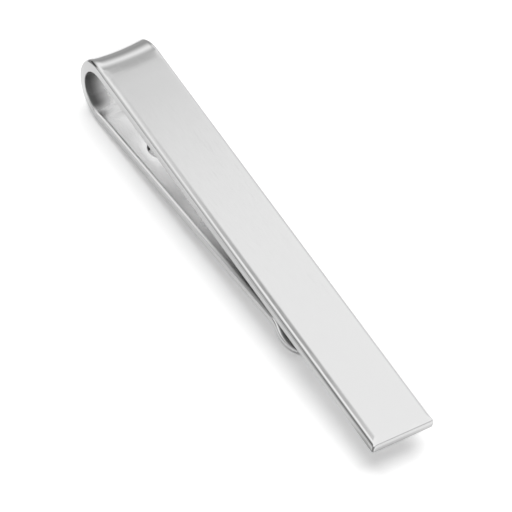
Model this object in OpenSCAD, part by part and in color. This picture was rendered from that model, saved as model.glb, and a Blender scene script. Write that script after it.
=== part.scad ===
// Tie clip, folded from one flat strip of polished metal.
// The clip lies at rest on the back of its bow and on the tip of its lip.
// +X runs along the front bar to its free end, +Y across the strip, +Z up from the table.

/* [Strip] */
// Width of the strip
strip_width = 6.35; // [4:0.05:12]
// Thickness of the strip
strip_thickness = 1.35; // [0.9:0.05:1.8]
// Radius that rounds the long edges of the strip
edge_radius = 0.4; // [0.1:0.05:0.4]

/* [Front bar] */
// Length from the free end of the front bar to the back of the bow
clip_length = 50.8; // [38:0.1:70]
// Radius of the upright corners of the free end
corner_radius = 0.4; // [0.1:0.05:1.5]
// Radius of the top and bottom edges of the free end
end_edge_radius = 0.25; // [0.05:0.05:0.4]

/* [Bow] */
// Outer radius of the bow
bow_radius = 3.6; // [3:0.05:5]
// Straight strip between the bow's bend and the front bar
bow_run = 1.2; // [0.2:0.1:2.5]

/* [Leaf] */
// Distance from the free end of the front bar to the line where the leaf grips
grip_from_end = 16.8; // [12:0.1:20]
// Gap between the leaf and the front bar at that line
grip_gap = 0.03; // [0.01:0.01:0.3]
// Diameter of the hole for a chain
hole_diameter = 3.2; // [1.5:0.1:3.6]
// Distance along the leaf from the end of the bend to the middle of the hole
hole_from_bend = 6.75; // [5.5:0.05:10]
// Width of the bevel around each mouth of the hole
hole_bevel = 0.12; // [0.05:0.01:0.2]

/* [Lip] */
// Radius of the bend into the lip, on its top face
lip_bend_radius = 2; // [1.9:0.1:4]
// Slope of the lip below the front bar, in degrees
lip_angle = 37; // [15:1:45]
// Straight length between the bend and the round tip of the lip
lip_run = 0.3; // [0.1:0.1:3]

/* [Hidden] */
$fn = 96;
// How far a cutting shape runs past what it cuts
cut_overrun = 1;

half_width = strip_width / 2;
inner_radius = bow_radius - strip_thickness;
bar_run = clip_length - bow_radius;

// In the frame of the front bar, x is zero at its free end and z is zero on its top face.
bow_centre = [-bar_run, -bow_radius];
lip_centre = [-grip_from_end, -strip_thickness - grip_gap - lip_bend_radius];

// The leaf is the straight line that touches the inside of the bow and the top of the lip's bend.
leaf_span = lip_centre - bow_centre;
leaf_turn = asin((inner_radius + lip_bend_radius) / norm(leaf_span));
leaf_angle = atan2(leaf_span[1], leaf_span[0]) + leaf_turn;
leaf_length = norm(leaf_span) * cos(leaf_turn);
leaf_start = bow_centre + inner_radius * [sin(leaf_angle), -cos(leaf_angle)];

// Where the lip's bend ends and where the round tip is centred, both on the top face
lip_along = [cos(lip_angle), -sin(lip_angle)];
lip_down = [-sin(lip_angle), -cos(lip_angle)];
lip_start = lip_centre - lip_bend_radius * lip_down;
tip_centre = lip_start + lip_run * lip_along;

// The table touches the bow and the lower edge of the tip, which sets the slope at rest.
tip_edge = tip_centre + (half_width - edge_radius) * lip_along + (strip_thickness - edge_radius) * lip_down;
rest_span = tip_edge - bow_centre;
rest_tilt = atan2(rest_span[1], rest_span[0]) + asin((bow_radius - edge_radius) / norm(rest_span));

// Places of a point of the side view once the clip lies at rest
function rest_x(p) = p[0] * cos(rest_tilt) + p[1] * sin(rest_tilt);
function rest_z(p) = p[1] * cos(rest_tilt) - p[0] * sin(rest_tilt);
back_x = rest_x(bow_centre) - bow_radius;
front_x = rest_x([-end_edge_radius, -end_edge_radius]) + end_edge_radius;
middle_x = (back_x + front_x) / 2;
table_z = rest_z(bow_centre) - bow_radius;

// Puts the frame of the front bar where the clip lies at rest
module at_rest() {
    translate([-middle_x, 0, -table_z])
        rotate([0, rest_tilt, 0])
            children();
}

// A rectangle with round corners, from the origin along x and centred on y
module rounded_rectangle(length, width, radius) {
    translate([radius, -width / 2])
        square([length - 2 * radius, width]);
    translate([0, radius - width / 2])
        square([length, width - 2 * radius]);
    for (x = [radius, length - radius], y = [radius - width / 2, width / 2 - radius])
        translate([x, y])
            circle(r = radius);
}

// The strip cut across, with its thickness along x and its width along y
module strip_section() {
    rounded_rectangle(strip_thickness, strip_width, edge_radius);
}

// A straight strip along +X with its top face on z = 0
module straight_strip(length) {
    rotate([0, 90, 0])
        linear_extrude(height = length)
            strip_section();
}

// A strip bent about Y, from angle first to angle last in the side view
module bent_strip(centre, outer_radius, first, last) {
    translate([centre[0], 0, centre[1]])
        rotate([90, 0, 0])
            rotate([0, 0, first])
                rotate_extrude(angle = last - first)
                    translate([outer_radius - strip_thickness, 0])
                        strip_section();
}

// Moves to a point of the side view and turns by an angle above the front bar
module from_point(point, angle) {
    translate([point[0], 0, point[1]])
        rotate([0, -angle, 0])
            children();
}

// What the outline of the free end leaves of the bar, seen from above and from the side
module bar_outline() {
    intersection() {
        translate([-clip_length, 0, -strip_thickness - cut_overrun])
            linear_extrude(height = strip_thickness + 2 * cut_overrun)
                rounded_rectangle(clip_length, strip_width, corner_radius);
        translate([-clip_length, 0, -strip_thickness / 2])
            rotate([90, 0, 0])
                linear_extrude(height = strip_width + 2 * cut_overrun, center = true)
                    rounded_rectangle(clip_length, strip_thickness, end_edge_radius);
    }
}

// The hole for a chain, from the top face of the leaf down through it
module chain_hole() {
    translate([hole_from_bend, 0, -strip_thickness - cut_overrun])
        cylinder(d = hole_diameter, h = strip_thickness + 2 * cut_overrun);
    for (side = [0, 1])
        translate([hole_from_bend, 0, -side * strip_thickness])
            rotate([side * 180, 0, 0])
                translate([0, 0, -hole_bevel])
                    cylinder(
                        r1 = hole_diameter / 2,
                        r2 = hole_diameter / 2 + hole_bevel + cut_overrun,
                        h = hole_bevel + cut_overrun
                    );
}

// The round tip of the lip, half a disc centred on the origin with its top face on z = 0
module round_tip() {
    rotate([0, 0, -90])
        rotate_extrude(angle = 180)
            intersection() {
                translate([-half_width, -strip_thickness / 2])
                    rounded_rectangle(strip_width, strip_thickness, edge_radius);
                translate([0, -strip_thickness - cut_overrun])
                    square([strip_width, strip_thickness + 2 * cut_overrun]);
            }
}

// The bar that shows on the front of the tie
module front_bar() {
    color("gainsboro")
        at_rest()
            intersection() {
                from_point([bow_run - bar_run, 0], 0)
                    straight_strip(bar_run - bow_run);
                bar_outline();
            }
}

// The round fold that works as the spring
module spring_bow() {
    color("darkgray")
        at_rest() {
            from_point([-bar_run, 0], 0)
                straight_strip(bow_run);
            bent_strip(bow_centre, bow_radius, 90, 270 + leaf_angle);
        }
}

// The leaf that presses the cloth against the front bar
module back_leaf() {
    color("silver")
        at_rest()
            from_point(leaf_start, leaf_angle)
                difference() {
                    straight_strip(leaf_length);
                    chain_hole();
                }
}

// The turned-down end that lets the cloth slide in
module guide_lip() {
    color("lightgray")
        at_rest()
            from_point(lip_start, -lip_angle) {
                bent_strip([0, -lip_bend_radius], lip_bend_radius, 90, 90 + lip_angle + leaf_angle);
                straight_strip(lip_run);
                translate([lip_run, 0, 0])
                    round_tip();
            }
}

front_bar();
spring_bow();
back_leaf();
guide_lip();
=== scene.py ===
import math

import bmesh
import bpy
from mathutils import Matrix, Vector


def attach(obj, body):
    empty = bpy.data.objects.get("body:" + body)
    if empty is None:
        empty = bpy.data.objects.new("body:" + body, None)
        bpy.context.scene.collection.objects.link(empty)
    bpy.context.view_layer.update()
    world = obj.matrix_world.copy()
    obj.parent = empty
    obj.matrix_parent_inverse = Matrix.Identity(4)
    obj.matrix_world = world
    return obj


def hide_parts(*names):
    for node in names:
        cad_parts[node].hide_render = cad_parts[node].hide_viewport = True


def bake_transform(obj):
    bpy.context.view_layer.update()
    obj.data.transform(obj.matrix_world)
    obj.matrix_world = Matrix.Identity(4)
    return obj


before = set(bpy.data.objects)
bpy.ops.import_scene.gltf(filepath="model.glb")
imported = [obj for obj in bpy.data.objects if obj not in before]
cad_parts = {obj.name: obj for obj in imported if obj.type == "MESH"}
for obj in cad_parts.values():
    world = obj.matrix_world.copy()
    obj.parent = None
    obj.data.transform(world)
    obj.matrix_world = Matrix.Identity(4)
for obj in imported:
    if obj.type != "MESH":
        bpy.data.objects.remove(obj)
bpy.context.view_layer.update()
scene = bpy.context.scene
print("frame loaded")

# Lengths are in millimetres. In the clip's own side view x is zero at the free end and z on top of the bar.
strip = {
    "width": 6.35,
    "thickness": 1.35,
    "outerRounding": 0.63,  # how far the rounding of the long edges reaches down the side, outside the fold
    "innerRounding": 0.28,  # and inside it
    "stretch": 1.4,  # how much further it reaches onto the flat
    "roundSteps": 10,
    "acrossSteps": 16,
    "insideStart": 0.86,  # the folded face is less polished from here, and on the bow, leaf and lip darkened with painted shade, as a share of the way from the outer face
    "insideEnd": 0.98,
    "leastInside": 0.06,  # dullness and painted shade of the folded face where it is brightest
}
fold = {
    "barRun": 47.2,  # from the free end to the start of the bend
    "bowRun": 1.2,  # straight part of the bow at the bar
    "bowRadius": 3.6,
    "leafAngle": 8.450847,
    "leafLength": 30.102257,
    "lipRadius": 2.0,
    "lipAngle": 37.0,
}
rest = {"tilt": 4.127024, "x": 25.477018, "z": 3.793781}  # how the clip lies on the table
near = 1e-4  # points closer than this to a plane lie in it
weld = 1e-3  # points closer than this to each other become one

halfWidth = strip["width"] / 2
thickness = strip["thickness"]
stretch = strip["stretch"]
leafAngle = math.radians(fold["leafAngle"])
lipAngle = math.radians(fold["lipAngle"])
bowCentre = Vector((-fold["barRun"], 0, -fold["bowRadius"]))
bowSeam = fold["bowRun"] - fold["barRun"]
alongLeaf = Vector((math.cos(leafAngle), 0, math.sin(leafAngle)))
awayFromLeaf = Vector((-math.sin(leafAngle), 0, math.cos(leafAngle)))
leafStart = bowCentre - (fold["bowRadius"] - thickness) * awayFromLeaf
toMetres = Matrix.Scale(0.001, 4)
atRest = Matrix.Translation((rest["x"], 0, rest["z"])) @ Matrix.Rotation(math.radians(rest["tilt"]), 4, "Y")
toTable = toMetres @ atRest
leafToTable = toTable @ Matrix.Translation(leafStart) @ Matrix.Rotation(-leafAngle, 4, "Y")


def smoothStep(t):
    t = min(1.0, max(0.0, t))
    return t * t * (3 - 2 * t)


def stripSection(bm, x, outerUp=True, wholeWidth=True):
    # the outline of the strip at x, top on z = 0, with corners rounded further onto the flats than down the sides
    farSide = halfWidth / stretch
    nearSide = -farSide if wholeWidth else 0
    corners = [bm.verts.new((x, y, z)) for y, z in (
        (farSide, 0), (nearSide, 0), (nearSide, -thickness), (farSide, -thickness))]
    bm.faces.new(corners)
    upper, lower = corners[:2], corners[2:]
    if not wholeWidth:
        upper, lower = corners[:1], corners[3:]
    outer, inner = (upper, lower) if outerUp else (lower, upper)
    for rounded, offset in ((outer, strip["outerRounding"]), (inner, strip["innerRounding"])):
        bmesh.ops.bevel(bm, geom=rounded, offset=offset, offset_type="OFFSET", affect="VERTICES",
                        segments=strip["roundSteps"], profile=0.5, material=-1)
    bmesh.ops.scale(bm, vec=(1, stretch, 1), verts=bm.verts)
    bmesh.ops.delete(bm, geom=list(bm.faces), context="FACES_ONLY")
    flats = [e for e in bm.edges if abs(e.verts[0].co.y - e.verts[1].co.y) > halfWidth / 2]
    steps = strip["acrossSteps"] if wholeWidth else strip["acrossSteps"] // 2
    bmesh.ops.subdivide_edges(bm, edges=flats, cuts=steps - 1)
    return list(bm.edges)


def roundedBy(inwards, reach):
    # how far a quarter round has dropped this far in from the edge, as a share of its depth
    out = min(1.0, max(0.0, 1 - inwards / reach))
    return 1 - math.sqrt(1 - out * out)


def squeeze(value, reach, share, limit):
    # narrows the first stretch of a length to a share of itself and lets the rest, up to its limit, take up the room
    if value < reach:
        return value * share
    return reach * share + (value - reach) * (limit - reach * share) / (limit - reach)


def carry(bm, edges, run, rings=1):
    # draws edges on along a straight run
    for _ in range(rings):
        made = bmesh.ops.extrude_edge_only(bm, edges=edges)["geom"]
        points = {g for g in made if isinstance(g, bmesh.types.BMVert)}
        bmesh.ops.translate(bm, verts=list(points), vec=Vector(run) / rings)
        edges = [g for g in made if isinstance(g, bmesh.types.BMEdge) and points.issuperset(g.verts)]
    return edges


def bend(bm, edges, centre, axis, angle, steps):
    # carries edges round an axis
    points = list({v for e in edges for v in e.verts})
    made = bmesh.ops.spin(bm, geom=edges + points, cent=centre, axis=axis, dvec=(0, 0, 0),
                          angle=angle, steps=steps, use_merge=False, use_duplicate=False)
    return [g for g in made["geom_last"] if isinstance(g, bmesh.types.BMEdge)]


def close(bm, edges):
    # closes an end of the strip with one face
    return bmesh.ops.edgeloop_fill(bm, edges=edges)["faces"]


def inPlane(element, axis, place):
    return all(abs(v.co[axis] - place) < near for v in element.verts)


def onInnerFace(height, start=strip["insideStart"]):
    # 1 on the inner face of the strip, a thickness from its outer face, and 0 on the outer face and the sides
    return smoothStep((height / thickness - start) / (strip["insideEnd"] - start))


def markInside(bm, insideOf):
    # stores how dull each point is, which the metal's shader reads as roughness and, on the bow, leaf and lip, as
    # painted shade
    layer = bm.verts.layers.float.new("inside")
    for v in bm.verts:
        v[layer] = insideOf(v.co)


def finishPiece(bm, name, place, capFaces):
    # makes the object, with crisp borders where the strip runs on in the next piece
    bmesh.ops.recalc_face_normals(bm, faces=bm.faces)
    for f in bm.faces:
        f.smooth = True
    wear = bm.verts.layers.float.new("wear")  # edges wear bright, but not where the strip runs on
    for v in bm.verts:
        v[wear] = 1
    for f in capFaces:
        f.smooth = False
        for e in f.edges:
            e.smooth = False
        for v in f.verts:
            v[wear] = 0
    bmesh.ops.transform(bm, matrix=place, verts=bm.verts)
    mesh = bpy.data.meshes.new(name)
    bm.to_mesh(mesh)
    bm.free()
    made = bpy.data.objects.new(name, mesh)
    scene.collection.objects.link(made)
    made.modifiers.new("FlatFaces", "WEIGHTED_NORMAL").keep_sharp = True
    return made


# the front bar
bar = {
    "endRounding": 0.88,  # how far the free end's rounding reaches along the top
    "lowerEndRounding": 0.3,  # and along the underside
    "cornerRounding": 0.26,
    "crispness": 6,  # of the ridge where two roundings meet
    "endSteps": 12,
    "rings": 24,
    "insideReach": 7,  # from the bow to where the underside is dullest
}
bm = bmesh.new()
outline = stripSection(bm, bowSeam)
close(bm, outline)
place = -bar["endRounding"]
outline = carry(bm, outline, (place - bowSeam, 0, 0), bar["rings"])
for step in range(1, bar["endSteps"] + 1):
    target = bar["endRounding"] * (math.sin(math.pi / 2 * step / bar["endSteps"]) - 1)
    outline = carry(bm, outline, (target - place, 0, 0))
    place = target
close(bm, outline)


def ridge(first, second):
    # two roundings meet, the deeper one ruling
    return (max(first, 0) ** bar["crispness"] + second ** bar["crispness"]) ** (1 / bar["crispness"])


for v in bm.verts:  # the free end is rounded like the long edges, and the corners meet in a soft ridge
    depth, height = -v.co.z, v.co.z + thickness
    if depth < height:
        v.co.z = -ridge(depth, roundedBy(-v.co.x, bar["endRounding"]) * strip["outerRounding"])
    else:
        v.co.z = ridge(height, roundedBy(-v.co.x, bar["lowerEndRounding"]) * strip["innerRounding"]) - thickness
    v.co.y *= 1 - roundedBy(-v.co.x, bar["cornerRounding"]) * bar["cornerRounding"] / halfWidth


def insideOfBar(co):
    # its underside is as bright as the bow's beside the bow, and duller further on
    return onInnerFace(-co.z) * max(smoothStep((co.x - bowSeam) / bar["insideReach"]), strip["leastInside"])


markInside(bm, insideOfBar)
frontBar = finishPiece(bm, "FrontBar", toTable, [f for f in bm.faces if inPlane(f, 0, bowSeam)])
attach(frontBar, "bar")
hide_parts("front_bar")
print("front bar made")

# the bow: bending draws its outside in at the middle and narrows it, and both fade out in the straight runs
bow = {
    "leafRun": 1.0,  # straight part of the bow at the leaf
    "runRings": 4,
    "steps": 94,
    "saddle": 0.18,  # how far its outside is drawn in at the middle
    "narrowing": 0.26,  # and how much narrower the outside is
    "scoop": 0.22,  # how far its inner face is hollowed
    "crispness": 0.55,  # how much narrower its roundings are than those of the bar
    "fadeStart": 1.0,  # these four end this far past the bend
    "fade": 4.4,  # and fade out over this length
    "dullShadeAt": 122,  # the dullest place inside it, where the painted shade is darkest, in degrees back from the top
    "insideStart": 0.45,  # cosines of the angles from there
    "insideEnd": 0.85,
    "dullShadeSide": 0.4,  # how far left of the middle line it starts
    "dullShadeWidth": 2.2,
}
bm = bmesh.new()
outline = stripSection(bm, bowSeam)
caps = close(bm, outline)
outline = carry(bm, outline, (-fold["bowRun"], 0, 0), bow["runRings"])
outline = bend(bm, outline, bowCentre, (0, -1, 0), math.pi + leafAngle, bow["steps"])
outline = carry(bm, outline, bow["leafRun"] * alongLeaf, bow["runRings"])
caps += close(bm, outline)


def placeOnBow(co):
    # which way is outwards at a point of the bow, how far out it is, and how far past the bend, negative in it
    out = Vector((co.x - bowCentre.x, 0, co.z - bowCentre.z))
    if out.x > 0 and out.z > 0:
        return Vector((0, 0, 1)), out.z, out.x
    if out.dot(alongLeaf) > 0 > out.dot(awayFromLeaf):
        return -awayFromLeaf, -out.dot(awayFromLeaf), out.dot(alongLeaf)
    return out.normalized(), out.length, -out.length * min(out.angle(Vector((0, 0, 1))), out.angle(-awayFromLeaf))


dullShadeCentre = Vector((-math.sin(math.radians(bow["dullShadeAt"])), 0, math.cos(math.radians(bow["dullShadeAt"]))))


def insideOfBow(co):
    # the deepest part of the fold is the dullest and gets the darkest painted shade, above all towards its left side
    out = Vector((co.x - bowCentre.x, 0, co.z - bowCentre.z))
    dullAndShade = smoothStep((out.normalized().dot(dullShadeCentre) - bow["insideStart"]) / (bow["insideEnd"] - bow["insideStart"]))
    dullAndShade *= smoothStep((-co.y - bow["dullShadeSide"]) / bow["dullShadeWidth"])
    height = out.z if out.x > 0 else out.length  # right beside the leaf this counts all faces as inner ones
    return onInnerFace(fold["bowRadius"] - height) * max(dullAndShade, strip["leastInside"])


markInside(bm, insideOfBow)
for v in bm.verts:
    outward, height, past = placeOnBow(v.co)
    share = smoothStep((bow["fadeStart"] - past) / bow["fade"])
    crisp = 1 - bow["crispness"] * share
    depth = fold["bowRadius"] - height
    fromSide = halfWidth - abs(v.co.y)
    if depth < thickness / 2:
        moved = squeeze(depth, strip["outerRounding"], crisp, thickness / 2)
        fromSide = squeeze(fromSide, strip["outerRounding"] * stretch, crisp, halfWidth)
    else:
        moved = thickness - squeeze(thickness - depth, strip["innerRounding"], crisp, thickness / 2)
        moved -= bow["scoop"] * share * (2 * moved / thickness - 1)
        fromSide = squeeze(fromSide, strip["innerRounding"] * stretch, crisp, halfWidth)
    v.co.y = math.copysign(halfWidth - fromSide, v.co.y)
    across = v.co.y / halfWidth
    v.co += outward * (depth - moved - bow["saddle"] * share * (1 - across * across))
    v.co.y *= 1 - bow["narrowing"] / strip["width"] * share * (1 - depth / thickness)

springBow = finishPiece(bm, "SpringBow", toTable, caps)
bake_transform(springBow)
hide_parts("spring_bow")
print("spring bow made")

# the back leaf with its hole, in its own side view: x from the end of the bend, z = 0 on the side towards the bar
leaf = {
    "holeRadius": 1.6,
    "holeX": 6.75,
    "holeSteps": 64,
    "rimRounding": 0.14,
    "rimSteps": 4,
    "bowRings": 2,  # between the hole and the bow
    "lipRings": 12,  # and between the hole and the lip
    "edgeSteps": 14,
    "lipRun": 1.0,  # straight part of the lip
    "dullShadeFrom": 13,  # its face towards the bar gets duller and darker with painted shade from here on
    "insideReach": 15,
    "dullShadeRounding": 0.1,  # how much further the dullness and painted shade come onto the rounding where it lies against the bar
}
leafEnd = fold["leafLength"] - leaf["lipRun"]
reach = strip["outerRounding"] * stretch
flat = halfWidth - reach
bm = bmesh.new()
bmesh.ops.create_circle(bm, cap_ends=False, radius=leaf["holeRadius"], segments=leaf["holeSteps"])
rimEdges = list(bm.edges)
corners = [bm.verts.new((x * flat, y * flat, 0)) for x, y in ((1, 1), (-1, 1), (-1, -1), (1, -1))]
sides = [bm.edges.new((corners[i - 1], corners[i])) for i in range(4)]
bmesh.ops.subdivide_edges(bm, edges=sides, cuts=leaf["holeSteps"] // 4 - 1)
squareEdges = [e for e in bm.edges if e not in rimEdges]
bmesh.ops.bridge_loops(bm, edges=rimEdges + squareEdges)
bmesh.ops.translate(bm, vec=(leaf["holeX"], 0, 0), verts=bm.verts)
for target, rings in ((bow["leafRun"], leaf["bowRings"]), (leafEnd, leaf["lipRings"])):
    edge = leaf["holeX"] + math.copysign(flat, target - leaf["holeX"])
    carry(bm, [e for e in bm.edges if inPlane(e, 0, edge)], (target - edge, 0, 0), rings)
for side in (1, -1):
    border = [e for e in bm.edges if inPlane(e, 1, side * flat)]
    place = flat
    for step in range(1, leaf["edgeSteps"] + 1):
        target = flat + reach * math.sin(math.pi / 2 * step / leaf["edgeSteps"])
        border = carry(bm, border, (0, side * (target - place), 0))
        place = target
made = bmesh.ops.extrude_face_region(bm, geom=list(bm.faces))["geom"]
bmesh.ops.translate(bm, vec=(0, 0, -thickness), verts=[g for g in made if isinstance(g, bmesh.types.BMVert)])
for v in bm.verts:  # both faces fall away to the long edges
    inwards = halfWidth - abs(v.co.y)
    if v.co.z < -thickness / 2:
        v.co.z += strip["outerRounding"] * roundedBy(inwards, reach)
    else:
        v.co.z -= strip["innerRounding"] * roundedBy(inwards, strip["innerRounding"] * stretch)


def inHole(co):
    return math.hypot(co.x - leaf["holeX"], co.y) < leaf["holeRadius"] + weld


mouth = [e for e in bm.edges if e.verts[0].co.z == e.verts[1].co.z and all(inHole(v.co) for v in e.verts)]
bmesh.ops.bevel(bm, geom=mouth, offset=leaf["rimRounding"], offset_type="OFFSET", affect="EDGES",
                segments=leaf["rimSteps"], profile=0.5, material=-1)


def insideOfLeaf(co):
    # dull and darkened with painted shade where it lies against the bar, and in the hole
    if inHole(co):
        return 1
    dullAndShade = smoothStep((co.x - leaf["dullShadeFrom"]) / leaf["insideReach"])
    start = strip["insideStart"] - leaf["dullShadeRounding"] * dullAndShade
    return onInnerFace(co.z + thickness, start) * max(dullAndShade, strip["leastInside"])


markInside(bm, insideOfLeaf)
ends = [f for f in bm.faces if inPlane(f, 0, bow["leafRun"]) or inPlane(f, 0, leafEnd)]
backLeaf = finishPiece(bm, "BackLeaf", leafToTable, ends)
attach(backLeaf, "spring")
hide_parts("back_leaf")
print("back leaf made")

# the lip: the end of the leaf bends down and closes in a round tip
lip = {
    "leafRings": 4,
    "bendSteps": 24,
    "run": 0.3,
    "runRings": 2,
    "tipSteps": 48,
    "brightRounding": 0.06,  # how much further off the dullness and painted shade stay from the rounding past the bend
    "brightReach": 0.6,
}
turn = lipAngle + leafAngle
slope = Vector((math.sin(turn), 0, math.cos(turn)))
bendCentre = Vector((fold["leafLength"], 0, -fold["lipRadius"]))
toTip = Matrix.Rotation(turn, 4, "Y") @ Matrix.Translation((0, 0, fold["lipRadius"]))
tipPlace = Matrix.Translation(bendCentre) @ toTip
bm = bmesh.new()
outline = stripSection(bm, leafEnd, outerUp=False)
caps = close(bm, outline)
outline = carry(bm, outline, (leaf["lipRun"], 0, 0), lip["leafRings"])
outline = bend(bm, outline, bendCentre, (0, 1, 0), turn, lip["bendSteps"])
carry(bm, outline, tipPlace.to_3x3() @ Vector((lip["run"], 0, 0)), lip["runRings"])
tip = bmesh.new()
outline = stripSection(tip, 0, outerUp=False, wholeWidth=False)
outline = [e for e in outline if any(v.co.y > 0 for v in e.verts)]
bend(tip, outline, (0, 0, 0), (0, 0, -1), math.pi, lip["tipSteps"])
bmesh.ops.delete(tip, geom=[e for e in tip.edges if not e.link_faces], context="EDGES")
bmesh.ops.transform(tip, matrix=tipPlace @ Matrix.Translation((lip["run"], 0, 0)), verts=tip.verts)
tipMesh = bpy.data.meshes.new("tip")
tip.to_mesh(tipMesh)
tip.free()
bm.from_mesh(tipMesh)
bpy.data.meshes.remove(tipMesh)
bmesh.ops.remove_doubles(bm, verts=bm.verts, dist=weld)


def insideOfLip(co):
    # dull and darkened with painted shade on its upper face, with a bright rounding round the tip
    out = Vector((co.x - bendCentre.x, 0, co.z - bendCentre.z))
    if out.x < 0:
        height = out.z
    else:
        height = out.length if out.x * slope.z < out.z * slope.x else out.dot(slope)
    bright = smoothStep(out.x / lip["brightReach"])
    start = strip["insideStart"] - leaf["dullShadeRounding"] * (1 - bright) + lip["brightRounding"] * bright
    return onInnerFace(height - fold["lipRadius"] + thickness, start)


markInside(bm, insideOfLip)
guideLip = finishPiece(bm, "GuideLip", leafToTable, caps)
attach(guideLip, "spring")
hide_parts("guide_lip")
print("guide lip made")


def addNode(nodes, kind, inputs=(), **settings):
    # a shader node with its settings and the numbers on its sockets
    made = nodes.new("ShaderNode" + kind)
    for name, value in settings.items():
        setattr(made, name, value)
    for name, value in inputs:
        made.inputs[name].default_value = value
    return made


def feed(links, socket, value):
    # a socket takes a number or another node's output
    if isinstance(value, float):
        socket.default_value = value
    else:
        links.new(value, socket)


def ramp(nodes, links, value, start, end, low=0.0, high=1.0, smooth=True):
    # a straight or smooth step from low to high while the value goes from start to end
    if start > end:
        start, end, low, high = end, start, high, low
    made = addNode(nodes, "MapRange", (("From Min", start), ("From Max", end), ("To Min", low), ("To Max", high)))
    made.interpolation_type = "SMOOTHSTEP" if smooth else "LINEAR"
    links.new(value, made.inputs["Value"])
    return made.outputs["Result"]


def combine(nodes, links, operation, *values):
    # one step of arithmetic, with numbers or other nodes' outputs
    made = addNode(nodes, "Math", operation=operation)
    for socket, value in zip(made.inputs, values):
        feed(links, socket, value)
    return made.outputs["Value"]


def addPatches(nodes, links, value, patches, places):
    # each patch or flag adds its shade where all of its edges have risen
    for patch in patches:
        shade = patch["shade"]
        for name, place in places.items():
            for start, end in patch.get(name, ()):
                shade = combine(nodes, links, "MULTIPLY", ramp(nodes, links, place, start, end), shade)
        value = combine(nodes, links, "ADD", shade, value)
    return value


def metal(name, look):
    # polished metal: tone and gloss drift a little over a fine grain, with hairline scratches and brighter edges;
    # the attribute "inside" marks the folded side, which the wheel reached less, so it is rougher, and there the
    # tone goes to the inside tone, which on the bow, leaf and lip is painted shade
    made = bpy.data.materials.new(name)
    made.use_nodes = True
    nodes, links = made.node_tree.nodes, made.node_tree.links
    shader = nodes["Principled BSDF"]
    shader.inputs["Metallic"].default_value = 1.0
    place = nodes.new("ShaderNodeTexCoord").outputs["Object"]

    def noise(stretched, scale, detail):
        mapping = addNode(nodes, "Mapping", (("Scale", stretched),))
        links.new(place, mapping.inputs["Vector"])
        texture = addNode(nodes, "TexNoise", (("Scale", scale), ("Detail", detail)))
        links.new(mapping.outputs["Vector"], texture.inputs["Vector"])
        return texture.outputs["Fac"]

    def attribute(name):
        return addNode(nodes, "Attribute", attribute_name=name).outputs["Fac"]

    def plus(value, gain, base):
        return combine(nodes, links, "MULTIPLY_ADD", value, gain, base)

    drift = noise((1, 1, 1), look["driftScale"], look["driftDetail"])
    grain = noise(look["grainAlong"], 1, look["grainDetail"])
    scratches = ramp(nodes, links, noise(look["scratchAlong"], 1, look["scratchDetail"]), *look["scratchRange"])
    worn = ramp(nodes, links, nodes.new("ShaderNodeNewGeometry").outputs["Pointiness"], *look["edgeRange"])
    worn = combine(nodes, links, "MULTIPLY", attribute("wear"), worn)
    inside = attribute("inside")
    paintedShade = combine(nodes, links, "POWER", inside, look["shadePower"])
    unpolished = combine(nodes, links, "POWER", inside, look["roughPower"])

    lowTone, highTone = look["tone"] - look["toneDrift"], look["tone"] + look["toneDrift"]
    tone = ramp(nodes, links, drift, 0, 1, lowTone, highTone, False)
    tone = plus(worn, look["edgeTone"], tone)
    # painted shade: where the inside mark is high the tone falls towards the inside tone
    tone = plus(paintedShade, look["insideShadeTone"] - look["tone"], tone)
    colour = nodes.new("ShaderNodeCombineColor")
    for channel in ("Red", "Green", "Blue"):
        links.new(tone, colour.inputs[channel])
    links.new(colour.outputs["Color"], shader.inputs["Base Color"])

    smoothest, roughest = look["roughness"] - look["grainRough"], look["roughness"] + look["grainRough"]
    rough = ramp(nodes, links, grain, *look["grainRange"], smoothest, roughest, False)
    rough = plus(drift, look["driftRough"], rough)
    rough = plus(worn, look["edgeRough"], rough)
    rough = plus(scratches, look["scratchRough"], rough)
    rough = plus(unpolished, look["insideRoughness"] - look["roughness"], rough)
    links.new(rough, shader.inputs["Roughness"])

    height = plus(scratches, look["scratchHeight"], grain)
    bump = addNode(nodes, "Bump", (("Strength", look["grain"]), ("Distance", look["grainHeight"])))
    links.new(height, bump.inputs["Height"])
    links.new(bump.outputs["Normal"], shader.inputs["Normal"])
    return made


polish = {
    "tone": 0.955,
    "toneDrift": 0.01,
    "insideShadeTone": 0.97,
    "shadePower": 1.5,  # above 1, so the painted shade darkens only the dullest places
    "roughness": 0.1,
    "insideRoughness": 0.42,
    "roughPower": 0.4,  # below 1, so the whole folded side is rough
    "driftScale": 140,
    "driftDetail": 3,
    "driftRough": 0.02,
    "grain": 0.04,
    "grainHeight": 0.00002,
    "grainAlong": (600, 9000, 9000),
    "grainDetail": 4,
    "grainRange": (0.2, 0.8),
    "grainRough": 0.03,
    "scratchAlong": (160, 4200, 4200),
    "scratchDetail": 1,
    "scratchRange": (0.66, 0.72),
    "scratchRough": 0.03,
    "scratchHeight": -0.3,  # against that of the grain
    "edgeRange": (0.505, 0.53),
    "edgeTone": 0.02,
    "edgeRough": -0.02,
}
bent = polish | {"grainAlong": (5000, 700, 5000), "grain": 0.015}
frontMetal = metal("PolishedFront", polish)
# the bow and the leaf take a far darker inside tone: painted shade in the fold, against the bar, in the hole and on
# the lip
bowMetal = metal("PolishedBow", bent | {"insideShadeTone": 0.2, "insideRoughness": 0.36})
leafMetal = metal("PolishedLeaf", bent | {"insideShadeTone": 0.22, "insideRoughness": 0.4})
for piece, material in ((frontBar, frontMetal), (springBow, bowMetal), (backLeaf, leafMetal), (guideLip, leafMetal)):
    piece.data.materials.append(material)
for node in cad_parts.values():
    node.material_slots[0].material = leafMetal
print("metal made")
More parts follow.
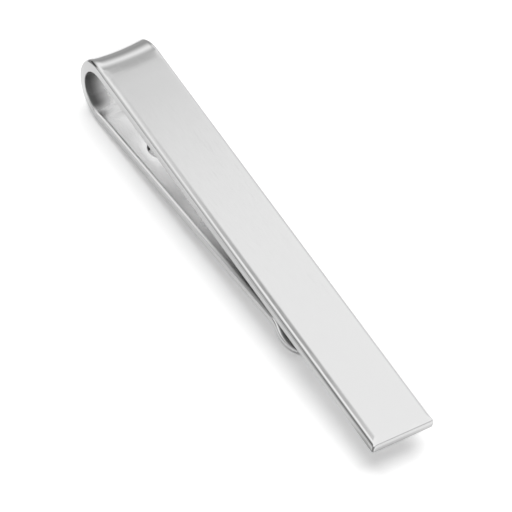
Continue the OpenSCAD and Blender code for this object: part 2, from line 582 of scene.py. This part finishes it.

# the table: white, and pure white to the camera where no shadow falls. In the clip's mirror image it is a little
# darker, with patches of painted light and painted shade, among them a painted shadow under the free end. They are
# placed in metres, x along the clip and y across it, from its middle, and each edge of a patch is a smooth step from
# its first number to its second.
table = {
    "size": 3.0,
    "roughness": 0.9,
    "cameraTone": 0.97,
    "cameraGlow": 0.27,
    "mirrorTone": 0.82,
    "leastTone": 0.2,
    "patches": [
        {"shade": -0.16, "y": ((-0.002, -0.006),)},  # left of the clip
        {"shade": 0.042, "y": ((0.001, 0.004),)},  # right of it
        {"shade": 0.098, "x": ((0.026, 0.022),), "y": ((0.001, 0.004),)},
        {"shade": -0.1, "x": ((0.0268, 0.031),)},  # past the free end
        {"shade": -0.3, "x": ((0.0274, 0.0264), (0.018, 0.023)), "y": ((-0.0056, -0.0046),)},  # painted shadow under it
        {"shade": -0.6, "x": ((0.0243, 0.025),), "y": ((-0.0036, -0.0044),)},  # painted shade off its left corner
        {"shade": -0.36, "x": ((-0.022, 0.008),), "y": ((-0.005, -0.013),)},  # further out on the left
        {"shade": -0.62, "x": ((-0.038, -0.052),)},  # behind the bow
    ],
}
bm = bmesh.new()
bmesh.ops.create_grid(bm, x_segments=1, y_segments=1, size=table["size"])
floorMesh = bpy.data.meshes.new("Floor")
bm.to_mesh(floorMesh)
bm.free()
floor = bpy.data.objects.new("Floor", floorMesh)
scene.collection.objects.link(floor)
floorMaterial = bpy.data.materials.new("WhiteTable")
floorMaterial.use_nodes = True
nodes, links = floorMaterial.node_tree.nodes, floorMaterial.node_tree.links
shader = nodes["Principled BSDF"]
shader.inputs["Roughness"].default_value = table["roughness"]
shader.inputs["Specular IOR Level"].default_value = 0
spot = nodes.new("ShaderNodeSeparateXYZ")
links.new(nodes.new("ShaderNodeTexCoord").outputs["Object"], spot.inputs["Vector"])
places = {"x": spot.outputs["X"], "y": spot.outputs["Y"]}
mirrored = addPatches(nodes, links, table["mirrorTone"], table["patches"], places)
mirrored = combine(nodes, links, "MAXIMUM", mirrored, table["leastTone"])
toCamera = nodes.new("ShaderNodeLightPath").outputs["Is Camera Ray"]
tone = addNode(nodes, "Mix", data_type="RGBA")
tone.inputs["B"].default_value = (table["cameraTone"],) * 3 + (1,)
links.new(mirrored, tone.inputs["A"])
links.new(toCamera, tone.inputs["Factor"])
links.new(tone.outputs["Result"], shader.inputs["Base Color"])
shader.inputs["Emission Color"].default_value = (1, 1, 1, 1)
links.new(combine(nodes, links, "MULTIPLY", toCamera, table["cameraGlow"]), shader.inputs["Emission Strength"])
# from below the table is clear, so that the underside of the clip can be seen
clear = nodes.new("ShaderNodeBsdfTransparent")
choose = nodes.new("ShaderNodeMixShader")
links.new(nodes.new("ShaderNodeNewGeometry").outputs["Backfacing"], choose.inputs["Fac"])
links.new(shader.outputs["BSDF"], choose.inputs[1])
links.new(clear.outputs["BSDF"], choose.inputs[2])
links.new(choose.outputs["Shader"], nodes["Material Output"].inputs["Surface"])
floorMesh.materials.append(floorMaterial)

# the studio: a white tent with a few soft grey flags. They are placed in degrees by the angle along the clip
# (90 past its free end), the turn round the clip (0 above it, 90 at its left), and height above the table.
# Each edge of a flag is a smooth step from its first number to its second.
studio = {
    "tent": 0.84,  # as the clip mirrors it
    "leastTent": 0.05,
    "plain": 0.36,  # as it lights the table
    "background": 1.0,  # as the camera sees it
    "flags": [
        {"shade": -0.41, "along": ((-30.3, -34), (-54, -35.5)), "turn": ((-90, -60), (38, 8))},
        {"shade": -0.52, "along": ((-42, -52),), "height": ((34, 9),)},
        {"shade": -0.58, "along": ((-31.6, -28.9), (-25.6, -27.6)), "turn": ((-8, 16), (48, 31))},
        {"shade": 0.1, "along": ((-31, -29),), "turn": ((38, 47), (66, 58))},
        {"shade": -0.29, "along": ((12, -12),), "turn": ((46, 74), (170, 150))},
        {"shade": -0.48, "along": ((-32, -27), (12, -12)), "turn": ((72, 84), (170, 150))},
        {"shade": -0.25, "along": ((-27.8, -26.8), (12, -12)), "turn": ((60, 70), (170, 150))},
        {"shade": -0.22, "along": ((-33, -29.5), (12, -12)), "turn": ((-62, -84), (-170, -150))},
        {"shade": -0.42, "along": ((15, 28),), "height": ((20, 3),)},
    ],
}
world = bpy.data.worlds.new("Studio")
scene.world = world
world.use_nodes = True
nodes, links = world.node_tree.nodes, world.node_tree.links
background = nodes["Background"]
direction = nodes.new("ShaderNodeTexCoord").outputs["Generated"]
tilt = math.radians(rest["tilt"])


def component(axis):
    made = addNode(nodes, "VectorMath", operation="DOT_PRODUCT")
    made.inputs[1].default_value = axis
    links.new(direction, made.inputs[0])
    return made.outputs["Value"]


def angleOf(operation, *values):
    return combine(nodes, links, "DEGREES", combine(nodes, links, operation, *values))


angles = {
    "along": angleOf("ARCSINE", component((math.cos(tilt), 0, -math.sin(tilt)))),
    "turn": angleOf("ARCTAN2", component((0, -1, 0)), component((math.sin(tilt), 0, math.cos(tilt)))),
    "height": angleOf("ARCSINE", component((0, 0, 1))),
}
tent = addPatches(nodes, links, studio["tent"], studio["flags"], angles)
tent = combine(nodes, links, "MAXIMUM", tent, studio["leastTent"])
rays = nodes.new("ShaderNodeLightPath").outputs
inMetal = combine(nodes, links, "MAXIMUM", rays["Is Glossy Ray"], rays["Is Transmission Ray"])
strength = studio["plain"]
for share, value in ((inMetal, tent), (rays["Is Camera Ray"], studio["background"])):
    mix = nodes.new("ShaderNodeMix")
    for name, given in (("Factor", share), ("A", strength), ("B", value)):
        feed(links, mix.inputs[name], given)
    strength = mix.outputs["Result"]
links.new(strength, background.inputs["Strength"])
background.inputs["Color"].default_value = (1, 1, 1, 1)

lamp = {"azimuth": 132, "elevation": 76, "width": 60, "strength": 2.14}
key = bpy.data.objects.new("KeyLight", bpy.data.lights.new("KeyLight", "SUN"))
key.data.angle = math.radians(lamp["width"])
key.data.energy = lamp["strength"]
azimuth, elevation = math.radians(lamp["azimuth"]), math.radians(lamp["elevation"])
level = math.cos(elevation)
towards = Vector((math.cos(azimuth) * level, math.sin(azimuth) * level, math.sin(elevation)))
key.rotation_mode = "QUATERNION"
key.rotation_quaternion = towards.to_track_quat("Z", "Y")
key.visible_glossy = False
scene.collection.objects.link(key)
print("studio lit")

view = {
    "place": (0.216137, -0.151941, 0.297265),
    "turn": (41.6706, -3.3194, 58.4923),
    "lens": 309.969,
    "sensor": 36,
}
camera = bpy.data.objects.new("Camera", bpy.data.cameras.new("Camera"))
camera.data.lens = view["lens"]
camera.data.sensor_width = view["sensor"]
camera.location = view["place"]
camera.rotation_euler = [math.radians(angle) for angle in view["turn"]]
scene.collection.objects.link(camera)
scene.camera = camera
scene.view_settings.view_transform = "Standard"
print("camera placed")
